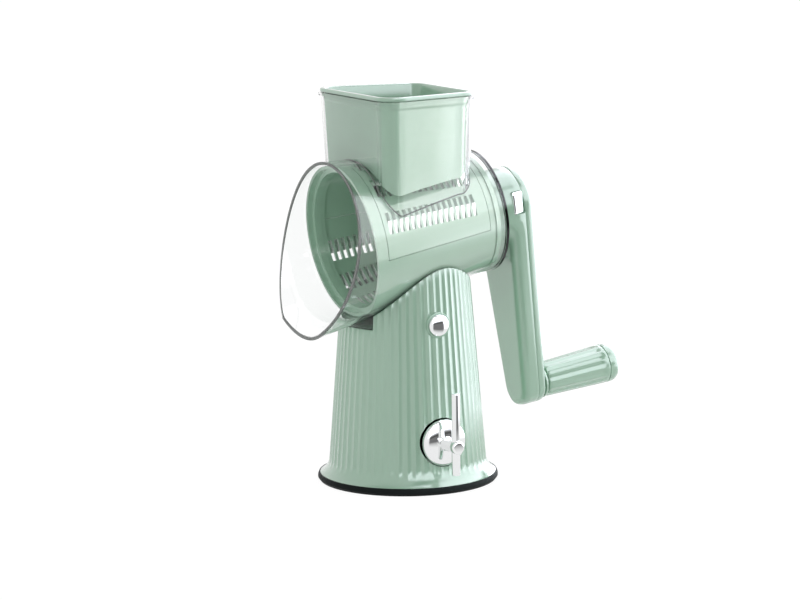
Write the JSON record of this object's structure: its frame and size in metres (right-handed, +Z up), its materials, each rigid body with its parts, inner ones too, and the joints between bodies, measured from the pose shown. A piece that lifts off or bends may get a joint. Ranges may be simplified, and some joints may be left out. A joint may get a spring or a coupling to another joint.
{
  "type": "rotary cabbage shredder",
  "caption": "Hand-cranked rotary vegetable shredder: fluted suction-base pedestal, slotted drum in a clear tilted barrel with chute and pusher, side crank with turning grip.",
  "frame": {"origin": "centre of the round rest face under the suction foot, on the table", "axes": "+Z up; +X towards the crank, -X towards the open mouth of the drum; -Y is the side with the lever and the release button"},
  "size_m": [0.2474, 0.1371, 0.27],
  "materials": {
    "body_plastic": "glossy moulded plastic, pale mint green",
    "clear_plastic": "clear polished plastic",
    "chrome": "mirror chrome",
    "steel": "bright stainless steel",
    "rubber": "soft dark green-black rubber"
  },
  "bodies": {
    "stand": {"suction_pad": "rubber", "pedestal": "body_plastic", "base_plate": "body_plastic", "base_screws": "steel", "lever_bush": "body_plastic", "button_bezel": "body_plastic", "button_spring": "steel", "housing": "clear_plastic", "shaft_bush": "steel"},
    "suction_stem": {"suction_stem": "steel"},
    "lever": {"lever_dial": "chrome", "lever_hub": "chrome", "lever_bar": "chrome", "cam_shaft": "steel", "lift_cam": "steel"},
    "release_button": {"release_button": "chrome", "latch_bar": "body_plastic"},
    "rotor": {"drum_frame": "body_plastic", "blade_panel_front": "body_plastic", "blade_panel_back": "body_plastic", "shred_combs_front": "steel", "shred_combs_back": "steel", "drive_shaft": "steel", "crank_arm": "body_plastic", "crank_cover": "body_plastic", "cover_screws": "steel", "crank_latch_spring": "steel", "grip_collar": "body_plastic", "grip_axle": "steel"},
    "crank_latch": {"crank_latch": "chrome"},
    "grip": {"grip_sleeve": "body_plastic", "grip_cap": "body_plastic"},
    "pusher": {"pusher": "body_plastic"}
  },
  "joints": [
    {"name": "lever_turn", "type": "hinge", "parent": "stand", "child": "lever", "pos_m": [0, 0, 0.034], "axis": [0, -1, 0], "range_deg": [0, 90]},
    {"name": "stem_lift", "type": "slide", "parent": "stand", "child": "suction_stem", "axis": [0, 0, 1], "range_m": [0, 0.0025], "deforming": ["suction_pad"]},
    {"name": "button_press", "type": "slide", "parent": "stand", "child": "release_button", "axis": [0, 1, 0], "range_m": [0, 0.0032], "stiffness_N_per_m": 400, "springref_m": -0.002, "deforming": ["button_spring"]},
    {"name": "drum_turn", "type": "hinge", "parent": "stand", "child": "rotor", "pos_m": [0, 0, 0.1754], "axis": [0.991, 0, 0.134], "continuous": true},
    {"name": "crank_latch_press", "type": "slide", "parent": "rotor", "child": "crank_latch", "axis": [0, 1, 0], "range_m": [0, 0.002], "stiffness_N_per_m": 300, "springref_m": -0.002, "deforming": ["crank_latch_spring"]},
    {"name": "grip_turn", "type": "hinge", "parent": "rotor", "child": "grip", "pos_m": [0.01749, 0, 0.04608], "axis": [0.991, 0, 0.134], "continuous": true},
    {"name": "pusher_lift", "type": "slide", "parent": "stand", "child": "pusher", "axis": [0, 0, 1], "range_m": [0, 0.075]}
  ],
  "couplings": [
    {"joint": "lever_turn", "follows": "stem_lift", "rad_per_m": 628.32}
  ]
}
